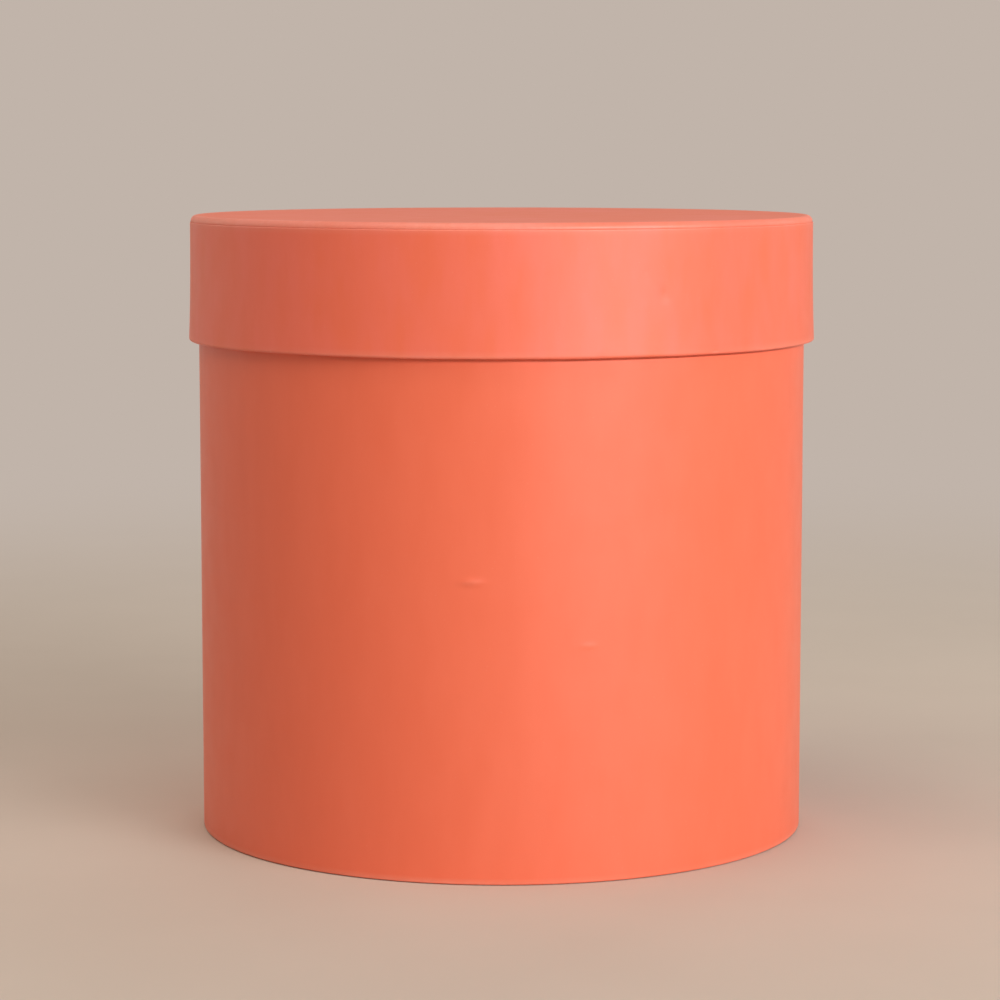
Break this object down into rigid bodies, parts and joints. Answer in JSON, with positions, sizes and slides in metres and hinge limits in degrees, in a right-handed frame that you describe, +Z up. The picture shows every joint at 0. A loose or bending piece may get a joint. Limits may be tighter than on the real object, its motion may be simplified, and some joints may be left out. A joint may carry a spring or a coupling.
{
  "type": "round box",
  "caption": "Round paper-covered board box with an overhanging lid that lifts straight off and lined insides.",
  "frame": {"origin": "where the box's axis meets the surface that it stands on, at the centre of its underside", "axes": "+Z up along the box's axis, -Y towards the viewer of the picture, +X to their right"},
  "size_m": [0.2066, 0.2066, 0.203],
  "materials": {
    "coral_paper": "matte, coral orange, faint tooth",
    "grey_board": "raw grey-brown board",
    "lining_paper": "uncoated off-white"
  },
  "bodies": {
    "box_body": {"body_wall_board": "grey_board", "body_bottom_board": "grey_board", "body_wrap": "coral_paper", "body_underside_card": "coral_paper", "body_wall_lining": "lining_paper", "body_floor_lining": "lining_paper"},
    "lid": {"lid_rim_board": "grey_board", "lid_top_board": "grey_board", "lid_top_paper": "coral_paper", "lid_rim_wrap": "coral_paper", "lid_rim_lining": "lining_paper", "lid_top_lining": "lining_paper"}
  },
  "joints": [
    {"name": "lid_lift", "type": "slide", "parent": "box_body", "child": "lid", "axis": [0, 0, 1], "range_m": [0, 0.2]}
  ]
}
